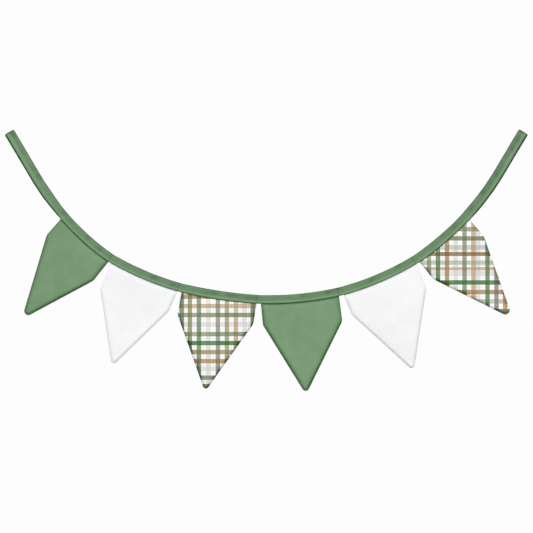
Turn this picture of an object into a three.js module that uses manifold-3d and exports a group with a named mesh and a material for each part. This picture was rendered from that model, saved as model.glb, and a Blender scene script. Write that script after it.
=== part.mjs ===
// Fabric bunting: six double-layer cotton pennants, bound by their top edges into one long strip
// of folded binding tape that hangs in a curve between its two ends.
//
// Millimetres, +Z up, +X along the bunting, and the front faces -Y. The plane y = 0 is whatever
// flat surface it hangs against. The origin is on the back of the tape, in the middle of its
// left end.
import * as THREE from "three";
import { mergeVertices } from "three/addons/utils/BufferGeometryUtils.js";
import Module from "manifold-3d";

const wasm = await Module();
wasm.setup();
const { degToRad, lerp, smoothstep } = THREE.MathUtils;

// ---- The tape's hanging line ----------------------------------------------------------------

const START_HEADING = -59.4; // degrees: the way the tape leaves its left end, below horizontal

// The tape's centre line is a row of arcs laid end to end. run is an arc's length in mm and bend
// is how many degrees it turns upwards. Both ends hang straight. Between them the line is nearly
// straight where a pennant stiffens it and turns more sharply in the short bare gaps.
const SPANS = [
  { over: "left tail", run: 113.5, bend: 0 },
  { over: "left tail", run: 118.5, bend: 10 },
  { over: "pennant", run: 145, bend: 14.8 },
  { over: "gap", run: 6.5, bend: 5.2 },
  { over: "pennant", run: 163.5, bend: 13.2 },
  { over: "gap", run: 9, bend: 3 },
  { over: "pennant", run: 173, bend: 9.3 },
  { over: "gap", run: 10, bend: 2.4 },
  { over: "pennant", run: 178.5, bend: 14 },
  { over: "gap", run: 11, bend: 2.9 },
  { over: "pennant", run: 180, bend: 15.5 },
  { over: "gap", run: 7.5, bend: 4 },
  { over: "pennant", run: 149, bend: 11.7 },
  { over: "right tail", run: 126, bend: 12.6 },
  { over: "right tail", run: 110, bend: 0 },
];

// ---- The tape's section ---------------------------------------------------------------------

const WIDTH = 21; // across the tape where it binds the pennants
const TAIL_WIDTH = 24; // across the tails, where nothing draws the folds together
const NARROWED_BEFORE = 10; // the left tail reaches WIDTH this far before the first pennant
const WIDENS_BEFORE = 30; // the right tail starts to widen this far before the last one ends
const WIDENING = 60; // run over which the width changes

const LEG = 1; // each of the two folded legs, front and back
const CLEAR = 0.3; // left between a pennant's top edge and each leg
const TUCKED = 1.2; // a pennant's pressed top edge between the legs
const POCKET = TUCKED + 2 * CLEAR;
const CREASE_OPEN = 0.2; // air left between the legs in the bare stretches
const LIP = 0.6; // extra thickness of the edge turned in along the lower 40% of a leg

const FLAT_END = 42; // stretch at each end that lies flat on the wall
const LIFT_OFF = 70; // run over which the tape then comes away from the wall
const HANG_DEPTH = 3.6; // middle of the tape in front of the wall
const WAVE = 0.9; // how far the tape waves about that depth
const WAVE_RUN = 262;
const END_CORNER = 3.5; // rounded corners of the two cut ends

// across is the place on the section, from -1 at the open lower edge to 1 at the upper fold.
// The other columns are the shares of the pocket, the leg and the lip that remain there.
const SECTION = [
  { across: -1, pocket: 1, leg: 0.5, lip: 0.3 },
  { across: -0.9, pocket: 1, leg: 1, lip: 0.8 },
  { across: -0.6, pocket: 1, leg: 1, lip: 1 },
  { across: -0.24, pocket: 1, leg: 1, lip: 0.8 },
  { across: -0.14, pocket: 1, leg: 1, lip: 0 },
  { across: 0.5, pocket: 1, leg: 1, lip: 0 },
  { across: 0.88, pocket: 0.8, leg: 0.9, lip: 0 },
  { across: 1, pocket: 0.3, leg: 0.4, lip: 0 },
];

// ---- The pennants ---------------------------------------------------------------------------

// Sizes of a pennant in its own plane, from the chord between the two places where its sides
// leave the tape. A shoulder lies `out` beyond the chord's end and `down` below it. The sides
// meet in a point `aside` of the chord's middle, which tipRadius rounds off.
// forward, cup and twist say how it hangs: how far its tip stands out, how far its middle
// bulges, and how much further its right side stands out than its left.
const PENNANTS = [
  {
    name: "pennant_1_green", cloth: "green", left: { out: -0.5, down: 48.5 }, right: { out: 3.5, down: 55 },
    tip: { aside: 14, down: 231.5 }, tipRadius: 10, forward: 5, cup: 2.2, twist: 3,
  },
  {
    name: "pennant_2_white", cloth: "white", left: { out: 0.5, down: 62.5 }, right: { out: -1, down: 49.5 },
    tip: { aside: 11, down: 217 }, tipRadius: 7.5, forward: 2.5, cup: -1.4, twist: -2,
  },
  {
    name: "pennant_3_plaid", cloth: "plaid", left: { out: 1, down: 51.5 }, right: { out: 0, down: 46.5 },
    tip: { aside: 0.5, down: 217.5 }, tipRadius: 7, forward: 4, cup: 1.8, twist: 1.5,
  },
  {
    name: "pennant_4_green", cloth: "green", left: { out: 0, down: 48.5 }, right: { out: 2, down: 57 },
    tip: { aside: -7, down: 217 }, tipRadius: 8.5, forward: 3, cup: -1.2, twist: -2.5,
  },
  {
    name: "pennant_5_white", cloth: "white", left: { out: 0.5, down: 48.5 }, right: { out: -1, down: 58 },
    tip: { aside: -12.5, down: 223 }, tipRadius: 7.5, forward: 5.5, cup: 2, twist: 2,
  },
  {
    name: "pennant_6_plaid", cloth: "plaid", left: { out: 1.5, down: 50 }, right: { out: 0, down: 50 },
    tip: { aside: 3, down: 238.5 }, tipRadius: 10.5, forward: 3.5, cup: 1.6, twist: -3,
  },
];

const SHOULDER_CORNER = 5; // run of each side that the soft shoulder corner takes up
const TIP_SHORT = 1.3; // a side's mesh stops this far short of the tip's middle, so the tip closes
const TUCK_DEPTH = 16; // how far the top edge reaches up inside the tape
const SIDE_CLEAR = 0.5; // the pocket's ends beyond the pennant's sides
const EDGE = 1; // thickness at the sewn and turned edge
const RIM = 2.9; // thickness over the seam allowance inside that edge
const RIM_RISE = 5; // run from the edge to the top of that rim
const MIDDLE = 2.1; // thickness of the two loose layers in the middle
const MIDDLE_FROM = 24; // how far in from the edge they start
const PRESSED = 1; // stays pressed thin this far below the tape
const UNPRESSED = 9; // and takes its full thickness over this much more

const MATERIALS = {
  tape: new THREE.MeshStandardMaterial({ color: 0x6c8a68, roughness: 0.9, metalness: 0 }),
  green: new THREE.MeshStandardMaterial({ color: 0x7a9a75, roughness: 0.95, metalness: 0 }),
  white: new THREE.MeshStandardMaterial({ color: 0xf4f4f6, roughness: 0.95, metalness: 0 }),
  plaid: new THREE.MeshStandardMaterial({ color: 0xc9c8b4, roughness: 0.95, metalness: 0 }),
};

// ---- Shared geometry ------------------------------------------------------------------------

/** The point reached after `run` along an arc, and the heading there in radians. */
function alongArc(arc, run) {
  const half = (arc.turn * run) / 2;
  const chord = run * (Math.sin(half) / half || 1);
  return {
    x: arc.x + chord * Math.cos(arc.heading + half),
    z: arc.z + chord * Math.sin(arc.heading + half),
    heading: arc.heading + 2 * half,
  };
}

/** Lays the spans end to end from the origin, each with its own start and stop along the tape. */
function layArcs(spans) {
  let end = { x: 0, z: 0, heading: degToRad(START_HEADING) };
  let from = 0;
  return spans.map(({ over, run, bend }) => {
    const arc = { over, from, to: from + run, turn: degToRad(bend) / run, ...end };
    end = alongArc(arc, run);
    from = arc.to;
    return arc;
  });
}

const ARCS = layArcs(SPANS);
const LENGTH = ARCS.at(-1).to;
const BOUND = ARCS.filter((arc) => arc.over === "pennant");
const GAPS = ARCS.filter((arc) => arc.over === "gap");

const fromNearestEnd = (s) => Math.min(s, LENGTH - s);

/** 1 where the tape lies flat on the wall, falling to 0 where it hangs clear of it. */
const flatness = (s) => 1 - smoothstep(fromNearestEnd(s), FLAT_END, FLAT_END + LIFT_OFF);

/** Half the tape's width at s, without and with its rounded end corners. */
function halfWidth(s) {
  const left = 1 - smoothstep(s, BOUND[0].from - NARROWED_BEFORE - WIDENING, BOUND[0].from - NARROWED_BEFORE);
  const widens = BOUND.at(-1).to - WIDENS_BEFORE;
  const right = smoothstep(s, widens, widens + WIDENING);
  return lerp(WIDTH, TAIL_WIDTH, left + right) / 2;
}
function roundedHalfWidth(s) {
  const short = Math.max(END_CORNER - fromNearestEnd(s), 0);
  return halfWidth(s) - END_CORNER + Math.sqrt(END_CORNER ** 2 - short ** 2);
}

/** How far the space between the legs is open at s: a pocket over the pennants, nearly shut elsewhere. */
function openAt(s) {
  const outside = Math.min(...BOUND.map((arc) => Math.max(arc.from - s, s - arc.to)));
  return lerp(POCKET, CREASE_OPEN, smoothstep(outside, 1, 3.5));
}

/** Depth of the plane between the tape's two legs, where it hangs clear of the wall. */
const middleDepth = (s) => -HANG_DEPTH + WAVE * Math.sin((2 * Math.PI * s) / WAVE_RUN);

/** The point `across` mm above the tape's centre line at s, at depth y. */
function onTape(s, across, y) {
  const arc = ARCS.find((one) => s <= one.to) ?? ARCS.at(-1);
  const { x, z, heading } = alongArc(arc, s - arc.from);
  return new THREE.Vector3(x - across * Math.sin(heading), y, z + across * Math.cos(heading));
}

/** A closed grid of columns by rows: place(column, row, side) puts each point, side 1 at the back. */
function closedGrid(columns, rows, place) {
  const box = new THREE.BoxGeometry(columns, 1, rows, columns, 1, rows);
  box.deleteAttribute("normal");
  box.deleteAttribute("uv");
  const points = box.getAttribute("position");
  for (let i = 0; i < points.count; i++) {
    const column = Math.round(points.getX(i) + columns / 2);
    const row = Math.round(points.getZ(i) + rows / 2);
    const put = place(column, row, Math.sign(points.getY(i)));
    points.setXYZ(i, put.x, put.y, put.z);
  }
  return mergeVertices(box);
}

function toSolid(geometry) {
  const mesh = { numProp: 3, vertProperties: geometry.getAttribute("position").array };
  mesh.triVerts = new Uint32Array(geometry.index.array);
  return new wasm.Manifold(new wasm.Mesh(mesh));
}

function fromSolid(solid) {
  const { vertProperties, triVerts } = solid.getMesh();
  return new THREE.BufferGeometry()
    .setAttribute("position", new THREE.BufferAttribute(vertProperties, 3))
    .setIndex(new THREE.BufferAttribute(triVerts, 1));
}

function named(name, geometry, material) {
  geometry.computeVertexNormals();
  const mesh = new THREE.Mesh(geometry, material);
  mesh.name = name;
  return mesh;
}

/** count + 1 places evenly spread from one place to another. */
const spread = (from, to, count) =>
  Array.from({ length: count + 1 }, (_, i) => lerp(from, to, i / count));

// ---- The binding tape -----------------------------------------------------------------------

const TAIL_STEPS = 8;
const BOUND_STEPS = 9;
const CUT_END = [0, 1, END_CORNER, 14, 28, FLAT_END]; // stations at a cut end

/** Places along the tape where its section is set: closer at the cut ends and at each gap. */
function tapeStations() {
  const first = BOUND[0].from - 1;
  const last = BOUND.at(-1).to + 1;
  return [
    ...CUT_END,
    ...spread(FLAT_END, first, TAIL_STEPS).slice(1, -1),
    ...BOUND.flatMap((arc) => spread(arc.from - 1, arc.to + 1, BOUND_STEPS)),
    ...GAPS.map((arc) => (arc.from + arc.to) / 2),
    ...spread(last, LENGTH - FLAT_END, TAIL_STEPS).slice(1, -1),
    ...CUT_END.map((s) => LENGTH - s),
  ].sort((a, b) => a - b);
}

/** The whole strip without its pockets. Near its ends its back is exactly flat, at y = 0. */
function stripGeometry() {
  const stations = tapeStations();
  return closedGrid(stations.length - 1, SECTION.length - 1, (column, row, side) => {
    const s = stations[column];
    const { across, pocket, leg, lip } = SECTION[row];
    const half = (pocket * openAt(s)) / 2 + leg * LEG + lip * LIP;
    const onWall = side > 0 ? 0 : -2 * half;
    const y = lerp(middleDepth(s) + side * half, onWall, flatness(s));
    return onTape(s, across * roundedHalfWidth(s), y);
  });
}

/** The space between the legs that takes one pennant's top edge, open at the tape's lower edge. */
function pocketGeometry(arc) {
  const stations = spread(arc.from - SIDE_CLEAR, arc.to + SIDE_CLEAR, BOUND_STEPS);
  return closedGrid(BOUND_STEPS, 1, (column, row, side) => {
    const s = stations[column];
    const lowerEdge = -halfWidth(s);
    const across = row === 1 ? lowerEdge + TUCK_DEPTH + 1 : lowerEdge - 2;
    return onTape(s, across, middleDepth(s) + (side * POCKET) / 2);
  });
}

function bindingTape() {
  const strip = BOUND.map(pocketGeometry)
    .map(toSolid)
    .reduce((solid, pocket) => solid.subtract(pocket), toSolid(stripGeometry()));
  return named("binding_tape", fromSolid(strip), MATERIALS.tape);
}

// ---- One pennant ----------------------------------------------------------------------------

const COLUMNS = 12;
const ROWS = 15; // below the tape
const CROWDING = 1.5; // above 1, the columns stand closer together towards the sides

/** The two sides of a pennant in its own plane, each from the tape to the middle of the tip. */
function sidePaths(chord, { left, right, tip, tipRadius }) {
  const point = new THREE.Vector2(tip.aside, -tip.down);
  const leftShoulder = new THREE.Vector2(-chord / 2 - left.out, -left.down);
  const rightShoulder = new THREE.Vector2(chord / 2 + right.out, -right.down);
  const upLeft = leftShoulder.clone().sub(point).normalize();
  const upRight = rightShoulder.clone().sub(point).normalize();
  const up = upLeft.clone().add(upRight).normalize();
  const halfApex = Math.acos(up.dot(upLeft));
  const centre = point.clone().addScaledVector(up, tipRadius / Math.sin(halfApex));
  const lowest = up.angle() + Math.PI;

  const side = (topX, shoulder, turn) => {
    const cornerTo = (end) => end.clone().sub(shoulder).setLength(SHOULDER_CORNER).add(shoulder);
    const above = cornerTo(new THREE.Vector2(topX, 0));
    const below = cornerTo(point);
    const tangent = lowest - turn * (Math.PI / 2 - halfApex);
    return new THREE.Path()
      .moveTo(topX, 0)
      .lineTo(above.x, above.y)
      .quadraticCurveTo(shoulder.x, shoulder.y, below.x, below.y)
      .absarc(centre.x, centre.y, tipRadius, tangent, lowest, turn < 0);
  };
  return { left: side(-chord / 2, leftShoulder, 1), right: side(chord / 2, rightShoulder, -1) };
}

/** Thickness of the two sewn layers this far in from their edge. */
const puffed = (inside) =>
  EDGE + (RIM - EDGE) * smoothstep(inside, 0, RIM_RISE) - (RIM - MIDDLE) * smoothstep(inside, RIM_RISE, MIDDLE_FROM);

/**
 * A pennant follows the tape inside it and just below it. Further down its rows run straight
 * between its two sides.
 */
function pennant(shape, arc) {
  const tapeEdge = (share) => {
    const s = lerp(arc.from, arc.to, share);
    return onTape(s, -halfWidth(s), 0);
  };
  const [start, end] = [tapeEdge(0), tapeEdge(1)];
  const right = end.clone().sub(start);
  const chord = right.length();
  right.normalize();
  const up = new THREE.Vector3(-right.z, 0, right.x);
  const middle = start.clone().lerp(end, 0.5);
  const sides = sidePaths(chord, shape);
  const edges = [...sides.left.getSpacedPoints(60), ...sides.right.getSpacedPoints(60)];
  const sideLength = sides.left.getLength();

  const depth = (share, t) => {
    const atTape = middleDepth(lerp(arc.from, arc.to, share));
    const hung = lerp(atTape, -HANG_DEPTH, smoothstep(t, 0, 0.25));
    const bulge = shape.cup * Math.sin(Math.PI * share) * Math.sin(Math.PI * t);
    return hung - bulge - shape.forward * t ** 2 - shape.twist * (share - 0.5) * smoothstep(t, 0, 0.8);
  };

  const geometry = closedGrid(COLUMNS, ROWS + 1, (column, row, side) => {
    const aside = (2 * column) / COLUMNS - 1;
    const share = 0.5 + (Math.sign(aside) * (1 - (1 - Math.abs(aside)) ** CROWDING)) / 2;
    if (row > ROWS) {
      const s = lerp(arc.from, arc.to, share);
      return onTape(s, TUCK_DEPTH - halfWidth(s), middleDepth(s) + (side * TUCKED) / 2);
    }
    const t = (0.5 + 0.5 * Math.cos((Math.PI * row) / ROWS)) * (1 - TIP_SHORT / sideLength);
    const flat = sides.left.getPoint(t).lerp(sides.right.getPoint(t), share);
    const inside = Math.min(...edges.map((edge) => edge.distanceTo(flat)));
    const below = t * sideLength;
    const thickness = lerp(TUCKED, puffed(inside), smoothstep(below, PRESSED, PRESSED + UNPRESSED));
    const sag = tapeEdge(share).sub(start.clone().lerp(end, share)).multiplyScalar((1 - t) ** 2);
    const point = middle.clone().addScaledVector(right, flat.x).addScaledVector(up, flat.y).add(sag);
    return point.setY(depth(share, t) + (side * thickness) / 2);
  });
  return named(shape.name, geometry, MATERIALS[shape.cloth]);
}

// ---- Assembly -------------------------------------------------------------------------------

const bunting = new THREE.Group();
bunting.add(bindingTape());
PENNANTS.forEach((shape, i) => bunting.add(pennant(shape, BOUND[i])));

export default bunting;
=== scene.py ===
"""A fabric bunting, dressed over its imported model: six double-layer cotton pennants, bound by
their top edges into one long strip of folded green tape.

Metres, +Z up, +X along the bunting, and the front faces -Y. The plane y = 0 is the flat surface
that it hangs against. Angles are in degrees where a table holds them.
"""

import math
import random
from functools import lru_cache
from typing import NamedTuple

import bmesh
import bpy
import numpy as np
from mathutils import Matrix, Vector, noise


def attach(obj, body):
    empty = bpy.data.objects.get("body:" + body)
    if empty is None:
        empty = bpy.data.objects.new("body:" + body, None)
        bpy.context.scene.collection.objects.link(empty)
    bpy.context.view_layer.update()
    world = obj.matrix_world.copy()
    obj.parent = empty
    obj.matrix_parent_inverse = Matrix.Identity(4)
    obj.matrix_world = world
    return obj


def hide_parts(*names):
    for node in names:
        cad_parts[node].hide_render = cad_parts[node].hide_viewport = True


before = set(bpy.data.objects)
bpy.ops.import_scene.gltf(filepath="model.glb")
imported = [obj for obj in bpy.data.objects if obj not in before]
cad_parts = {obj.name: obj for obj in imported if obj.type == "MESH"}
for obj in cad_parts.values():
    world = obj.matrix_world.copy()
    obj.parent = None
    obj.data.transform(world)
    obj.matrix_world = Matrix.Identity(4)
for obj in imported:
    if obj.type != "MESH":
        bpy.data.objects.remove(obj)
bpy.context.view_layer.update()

FRONT, BACK = -1, 1


# ---- The tape's hanging line ----------------------------------------------------------------

START_HEADING = -59.4  # the way the tape leaves its left end, below horizontal

# The centre line is a row of arcs laid end to end: what each carries, its run in metres, and
# how many degrees it turns upwards.
SPANS = (
    ("left tail", 0.1135, 0),
    ("left tail", 0.1185, 10),
    ("pennant", 0.145, 14.8),
    ("gap", 0.0065, 5.2),
    ("pennant", 0.1635, 13.2),
    ("gap", 0.009, 3),
    ("pennant", 0.173, 9.3),
    ("gap", 0.010, 2.4),
    ("pennant", 0.1785, 14),
    ("gap", 0.011, 2.9),
    ("pennant", 0.180, 15.5),
    ("gap", 0.0075, 4),
    ("pennant", 0.149, 11.7),
    ("right tail", 0.126, 12.6),
    ("right tail", 0.110, 0),
)


class Arc(NamedTuple):
    """One stretch of the centre line: where it starts and ends along the tape, how sharply it
    turns, and the place and heading of its start."""

    over: str
    start: float
    end: float
    turn: float
    x: float
    z: float
    heading: float


def smooth(value, low, high):
    share = min(max((value - low) / (high - low), 0), 1)
    return share * share * (3 - 2 * share)


def lerp(a, b, share):
    return a + (b - a) * share


def bell(value, width):
    return math.exp(-((value / width) ** 2))


def ripple(*place):
    """Smooth unevenness between about -1 and 1 at a place given in ripples."""
    return noise.noise(Vector((*place, 0, 0)[:3]))


def along_arc(arc, run):
    """The x, z and heading reached after `run` along an arc."""
    half = arc.turn * run / 2
    chord = run * (math.sin(half) / half if half else 1)
    x = arc.x + chord * math.cos(arc.heading + half)
    z = arc.z + chord * math.sin(arc.heading + half)
    return x, z, arc.heading + 2 * half


def lay_arcs():
    arcs, start = [], 0
    x, z, heading = 0, 0, math.radians(START_HEADING)
    for over, run, bend in SPANS:
        arc = Arc(over, start, start + run, math.radians(bend) / run, x, z, heading)
        x, z, heading = along_arc(arc, run)
        start = arc.end
        arcs.append(arc)
    return arcs


ARCS = lay_arcs()
LENGTH = ARCS[-1].end
BOUND = [arc for arc in ARCS if arc.over == "pennant"]
GAPS = [arc for arc in ARCS if arc.over == "gap"]


# ---- The tape's section ---------------------------------------------------------------------

WIDTH = 0.021  # across the tape where it binds the pennants
TAIL_WIDTH = 0.024  # across the tails
NARROWED_BEFORE = 0.010  # the left tail reaches WIDTH this far before the first pennant
WIDENS_BEFORE = 0.030  # the tape starts to widen this far before the last pennant ends
WIDENING = 0.060  # each change of width takes this long
END_CORNER = 0.0035  # rounded corners of the two cut ends
END_BEND = 0.0002  # how far the line of a cut end bends to and fro

HANG_DEPTH = 0.0036  # middle of the tape in front of the wall
WAVE = 0.0009  # and how far it waves nearer and further
WAVE_RUN = 0.262
ROLL = math.radians(3.5)  # how far the tape rolls about its own line as it hangs
ROLL_RUN = 0.085
FLAT_END = 0.042  # stretch at each end that lies flat on the wall
LIFT_OFF = 0.070  # and the stretch over which it leaves the wall

TUCKED = 0.0012  # thickness of a pennant's pressed top edge
POCKET = TUCKED + 0.0006  # space between the legs where they hold a pennant
CREASE_OPEN = 0.0002  # and where they hold nothing
POCKET_TOP = 0.86  # share of the half width where the two legs meet inside the fold
POCKET_CLOSES = 0.0035  # the pocket is closed from this far beyond a pennant
LEG = 0.0009  # thickness of the two layers of one leg
LIP_RISE = 0.0006  # the edge turned in under each leg lifts it this much
LIP_SOFT = 0.09  # how softly its line shows
LIP_PUFF = 0.0003  # roundness of the lifted strip
LIP_TROUGH = 0.00014  # dip just above it
BAND_PUFF = 0.0002  # roundness of the smooth band above that
FOLD_FROM = 0.76  # share of the half width where the upper fold starts to round over
HEM_FROM = -0.82  # and where the lower edge does
HEM_ROUNDS = 0.85  # how much of the thickness that rounding takes
STITCH_LINE = -0.76  # row of sewing along the lower edge
STITCH_GROOVE = 0.00025  # how deep the sewing pulls into the cloth

DIMPLE_STEP = 0.024  # the sewing pulls a soft dimple into the upper band about this often
DIMPLE_DEPTH = 0.0005
DIMPLE_RUN = 0.0088
DIMPLE_HEIGHT = 0.40  # share of the half width
DIMPLE_LEAN = 0.004  # how far along the tape a dimple leans over that

PUCKER = 0.00016  # unevenness of the legs between the stitches
PUCKER_RUN = 0.013
WRINKLE = 0.00008
WRINKLE_RUN = 0.0035

CREASE_BACK = 0.004  # the creases lie this far left of each gap's middle
CREASE_RUN = 0.0013
CREASE_RIDGE = 0.0035  # a low ridge follows each crease at this distance
CREASE_DEPTH = 0.0005
CREASE_BEHIND = 0.6  # share of that depth on the back leg

SQUASHED_END = 0.0016  # the cut ends thin over this distance
END_THICKNESS = 0.4  # to this share


@lru_cache(maxsize=None)
def centre_line(s):
    """The x, z and heading of the tape's centre line at s."""
    arc = next((one for one in ARCS if s <= one.end), ARCS[-1])
    return along_arc(arc, s - arc.start)


def on_tape(s, across, y):
    """The point `across` metres above the tape's centre line at s, at depth y."""
    x, z, heading = centre_line(s)
    return Vector((x - across * math.sin(heading), y, z + across * math.cos(heading)))


def from_nearest_end(s):
    return min(s, LENGTH - s)


@lru_cache(maxsize=None)
def half_width(s):
    narrowed = BOUND[0].start - NARROWED_BEFORE
    widens = BOUND[-1].end - WIDENS_BEFORE
    left = 1 - smooth(s, narrowed - WIDENING, narrowed)
    return lerp(WIDTH, TAIL_WIDTH, left + smooth(s, widens, widens + WIDENING)) / 2


@lru_cache(maxsize=None)
def rounded_half_width(s):
    short = min(max(END_CORNER - from_nearest_end(s), 0), END_CORNER)
    return half_width(s) - END_CORNER + math.sqrt(END_CORNER**2 - short**2)


@lru_cache(maxsize=None)
def outside_pennants(s):
    """How far s is from the nearest bound pennant, below zero under one."""
    return min(max(arc.start - s, s - arc.end) for arc in BOUND)


def open_at(s):
    return lerp(POCKET, CREASE_OPEN, smooth(outside_pennants(s), 0.001, POCKET_CLOSES))


def middle_depth(s, across):
    """Depth of the plane between the two legs, where the tape hangs clear of the wall."""
    waved = WAVE * math.sin(2 * math.pi * s / WAVE_RUN)
    rolled = across * half_width(s) * ROLL * ripple(s / ROLL_RUN, 3.1)
    return -HANG_DEPTH + waved + rolled


def lip_line(s, side):
    """Where the turned-in edge ends on a leg, from -1 at the lower edge to 1 at the fold."""
    held = 1 - smooth(outside_pennants(s), 0, 0.08)
    wander = 0.08 * ripple(s / 0.031, side * 4.7) + 0.05 * ripple(s / 0.009, side * 2.3)
    return lerp(-0.22, -0.48, held) + wander


def lay_dimples():
    """Places of the dimples along each leg: how far along, how far across, and how deep."""
    draw = random.Random(11)
    rows = {}
    for side in (FRONT, BACK):
        count = int(LENGTH / DIMPLE_STEP)
        rows[side] = [
            (
                (k + 0.5 + draw.uniform(-0.3, 0.3)) * DIMPLE_STEP,
                draw.uniform(0.1, 0.5),
                1.55 * draw.random() ** 1.5,
            )
            for k in range(count)
        ]
    return rows


DIMPLES = lay_dimples()


def dimple(s, across, side):
    """0 on the smooth band, up to 1 in the middle of a dimple."""
    near = int(s / DIMPLE_STEP)
    total = 0
    for at, level, depth in DIMPLES[side][max(near - 1, 0) : near + 2]:
        leaning = s - at - DIMPLE_LEAN * (across - level)
        total += depth * bell(leaning, DIMPLE_RUN) * bell(across - level, DIMPLE_HEIGHT)
    return min(total, 1)


def crease(s):
    """Short creases across the tape at each bare gap, where it bends more sharply: a main one, a
    low ridge beside it, and a finer crease at the pennant's corner."""
    total = 0
    for arc in GAPS:
        beyond = s - (arc.start + arc.end) / 2 + CREASE_BACK
        total += bell(beyond, CREASE_RUN)
        total -= 0.5 * bell(beyond - CREASE_RIDGE, 0.0016)
        total += 0.6 * bell(s - arc.start + 0.001, 0.0009)
    return total


def rounding(across):
    """Share of a leg's thickness left where it rounds over the fold or under the lower edge."""
    over = max(across - FOLD_FROM, 0) / (1 - FOLD_FROM)
    under = max(HEM_FROM - across, 0) / (1 + HEM_FROM)
    hem = lerp(1, math.sqrt(max(1 - under**2, 0)), HEM_ROUNDS)
    return math.sqrt(max(1 - over**2, 0)) * hem


def leg_face(s, across, side):
    """How far a leg's outer face stands from the plane between the two legs."""
    line = lip_line(s, side)
    lip = 1 - smooth(across, line - LIP_SOFT, line + LIP_SOFT)
    strip = smooth(across, -1, line) * lip
    form = LEG + LIP_RISE * lip + LIP_PUFF * strip * (1 - strip) * 4
    form -= LIP_TROUGH * bell(across - line - 0.2, 0.2)
    form += BAND_PUFF * bell(across - 0.55, 0.25)
    form -= STITCH_GROOVE * bell(across - STITCH_LINE, 0.07)
    form -= DIMPLE_DEPTH * dimple(s, across, side)
    form += PUCKER * ripple(s / PUCKER_RUN, across * 1.3, side * 5)
    form += WRINKLE * ripple((s + 0.01 * across) / WRINKLE_RUN, across * 3, side * 9)
    flat = smooth(abs(across), 1.0, 0.8)
    form -= CREASE_DEPTH * crease(s) * flat * (1 if side == FRONT else CREASE_BEHIND)
    return (open_at(s) / 2 + form) * rounding(across)


def end_rounding(s):
    """Share of the thickness left in the last millimetres of a cut end."""
    short = 1 - min(max(from_nearest_end(s), 0) / SQUASHED_END, 1)
    return lerp(END_THICKNESS, 1, math.sqrt(1 - short**2))


def leg_depth(s, across, side, offset):
    """Depth of a point `offset` out from the middle plane. The tape's ends lie flat at y = 0."""
    flat = 1 - smooth(from_nearest_end(s), FLAT_END, FLAT_END + LIFT_OFF)
    back = leg_face(s, across, BACK) * end_rounding(s)
    return lerp(middle_depth(s, across), -back, flat) + side * offset


# ---- Meshes ---------------------------------------------------------------------------------


class Spot(NamedTuple):
    """Where a vertex goes, its place on the flat cloth, and its painted shades and highlight for the
    finish.
    """

    point: Vector
    cloth: tuple
    shades: dict


def place_grid(bm, columns, rows, spot_at, shades, outward):
    """Adds a grid and puts each of its vertices where spot_at(column, row) says."""
    grid = bmesh.ops.create_grid(bm, x_segments=columns, y_segments=rows, size=0.5)["verts"]
    faces = list({face for vert in grid for face in vert.link_faces})
    if not outward:
        bmesh.ops.reverse_faces(bm, faces=faces)
    layers = {name: bm.verts.layers.float[name] for name in shades}
    cloth = {}
    for vert in grid:
        column = round((vert.co.x + 0.5) * columns)
        row = round((vert.co.y + 0.5) * rows)
        spot = spot_at(column, row)
        vert.co = spot.point
        cloth[vert] = spot.cloth
        for name, layer in layers.items():
            vert[layer] = spot.shades[name]
    uv = bm.loops.layers.uv["cloth"]
    for face in faces:
        for corner in face.loops:
            corner[uv].uv = cloth[corner.vert]


def new_cloth(shades):
    bm = bmesh.new()
    bm.loops.layers.uv.new("cloth")
    for name in shades:
        bm.verts.layers.float.new(name)
    return bm


def make_piece(bm, name, material):
    """Turns a bmesh into a smooth piece that rides with the bunting."""
    for face in bm.faces:
        face.smooth = True
    mesh = bpy.data.meshes.new(name)
    bm.to_mesh(mesh)
    bm.free()
    mesh.materials.append(material)
    piece = bpy.data.objects.new(name, mesh)
    bpy.context.scene.collection.objects.link(piece)
    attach(piece, "root")
    return piece


# ---- The folded tape ------------------------------------------------------------------------

TAPE_STEP = 0.0022
# 'edge' is painted shade along the edges, 'lip' a painted highlight on the lower strip, 'dimple'
# painted shade in dimples and creases
TAPE_SHADES = ("edge", "lip", "dimple")
FACE_ROWS = 26  # across one leg's outer face
LINING_ROWS = 5  # across its inner face
DRAWN_UP = (0.0002, 0.0011, 0.0006, 0.0014, 0.0016, 0)  # at the lower edge, over each pennant
END_FLARE = 0.0005  # the lower edge spreads this much towards a cut end
LOWER_WANDER = 0.00035  # how far the lower and the upper edge wander
UPPER_WANDER = 0.0003
LINING_FROM = -0.985  # share of the half width where the pocket opens

# How strongly painted shade darkens the tape's edges, and over what distance: its lower edge over
# a pennant and where it is bare, the fold, and the cut ends.
LOWER_SHADE, BARE_SHADE, LOWER_RUN = 0.2, 1.1, 0.0025
FOLD_SHADE, FOLD_RUN = 0.24, 0.0016
END_SHADE, END_RUN = 0.8, 0.0018


def tape_stations():
    """Places along the tape for its rows: closer at the cut ends and in the gaps."""
    ends = [0, 0.0002, 0.0005, 0.0009, 0.0014, 0.002, 0.0028]
    places = set(ends) | {LENGTH - s for s in ends}
    count = round((LENGTH - 0.008) / TAPE_STEP)
    places |= {lerp(0.004, LENGTH - 0.004, k / count) for k in range(count + 1)}
    for arc in GAPS:
        places |= {arc.start - 0.002 + 0.001 * k for k in range(16)}
    kept = []
    for s in sorted(places):
        if not kept or s - kept[-1] > 0.00015:
            kept.append(s)
    return kept


def round_the_section():
    """The tape's section as (across, side, lining) steps: up the front face, over the fold, down
    the back face, and up and down inside the pocket."""
    face = [-math.cos(math.pi * (k / FACE_ROWS) ** 0.92) for k in range(FACE_ROWS + 1)]
    lining = [k / LINING_ROWS for k in range(LINING_ROWS + 1)]
    steps = [(across, FRONT, False) for across in face]
    steps += [(across, BACK, False) for across in reversed(face[:-1])]
    steps += [(share, BACK, True) for share in lining]
    steps += [(share, FRONT, True) for share in reversed(lining[:-1])]
    return steps


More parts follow.
